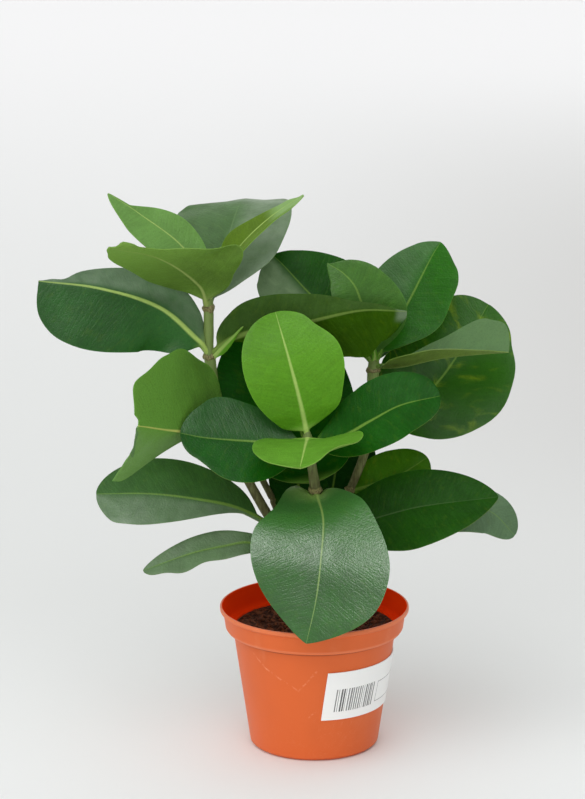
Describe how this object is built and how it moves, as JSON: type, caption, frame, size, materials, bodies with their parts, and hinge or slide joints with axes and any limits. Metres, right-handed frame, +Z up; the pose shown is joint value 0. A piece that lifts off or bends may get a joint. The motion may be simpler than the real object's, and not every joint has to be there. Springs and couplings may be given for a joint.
{
  "type": "potted clusia",
  "caption": "Young broad-leaved clusia with three leafy shoots of thick paddle-shaped leaves, growing in a round tapered nursery pot with a paper label.",
  "frame": {"origin": "centre of the pot's flat underside, on the surface the pot stands on", "axes": "+Z up along the pot's axis, -Y towards the front, where the broad drooping leaf hangs over the rim, +X to the right seen from the front, towards the label's side"},
  "size_m": [0.3012, 0.1983, 0.3562],
  "materials": {
    "pot": "satin",
    "soil": "matte",
    "label": "satin",
    "woody_stems": "matte",
    "leaf_left_crown_pale": "satin",
    "leaf_left_crown_narrow": "satin",
    "leaf_left_crown_back": "satin",
    "leaf_left_crown_front": "satin",
    "leaf_left_middle_outer": "satin",
    "leaf_left_middle_inner": "satin",
    "leaf_left_low_front": "satin",
    "leaf_left_low_back": "satin",
    "leaf_middle_upright": "satin",
    "leaf_middle_left": "satin",
    "leaf_middle_front": "satin",
    "leaf_middle_right": "satin",
    "leaf_middle_back": "satin",
    "leaf_middle_drooping": "satin",
    "leaf_low_left_upper": "satin",
    "leaf_low_left_lower": "satin",
    "leaf_right_crown_left": "satin",
    "leaf_right_crown_front": "satin",
    "leaf_right_crown_upright": "satin",
    "leaf_right_crown_back": "satin",
    "leaf_right_crown_outer": "satin",
    "leaf_right_middle_outer": "satin",
    "leaf_right_middle_inner": "satin",
    "leaf_low_right_upper": "satin",
    "leaf_low_right_front": "satin",
    "leaf_low_right_back": "satin",
    "leaf_low_back_left": "satin",
    "leaf_low_back_middle": "satin",
    "leaf_low_back_right": "satin"
  },
  "bodies": {
    "root": {"pot": "pot", "soil": "soil", "label": "label", "woody_stems": "woody_stems", "leaf_left_crown_pale": "leaf_left_crown_pale", "leaf_left_crown_narrow": "leaf_left_crown_narrow", "leaf_left_crown_back": "leaf_left_crown_back", "leaf_left_crown_front": "leaf_left_crown_front", "leaf_left_middle_outer": "leaf_left_middle_outer", "leaf_left_middle_inner": "leaf_left_middle_inner", "leaf_left_low_front": "leaf_left_low_front", "leaf_left_low_back": "leaf_left_low_back", "leaf_middle_upright": "leaf_middle_upright", "leaf_middle_left": "leaf_middle_left", "leaf_middle_front": "leaf_middle_front", "leaf_middle_right": "leaf_middle_right", "leaf_middle_back": "leaf_middle_back", "leaf_middle_drooping": "leaf_middle_drooping", "leaf_low_left_upper": "leaf_low_left_upper", "leaf_low_left_lower": "leaf_low_left_lower", "leaf_right_crown_left": "leaf_right_crown_left", "leaf_right_crown_front": "leaf_right_crown_front", "leaf_right_crown_upright": "leaf_right_crown_upright", "leaf_right_crown_back": "leaf_right_crown_back", "leaf_right_crown_outer": "leaf_right_crown_outer", "leaf_right_middle_outer": "leaf_right_middle_outer", "leaf_right_middle_inner": "leaf_right_middle_inner", "leaf_low_right_upper": "leaf_low_right_upper", "leaf_low_right_front": "leaf_low_right_front", "leaf_low_right_back": "leaf_low_right_back", "leaf_low_back_left": "leaf_low_back_left", "leaf_low_back_middle": "leaf_low_back_middle", "leaf_low_back_right": "leaf_low_back_right"}
  },
  "joints": []
}
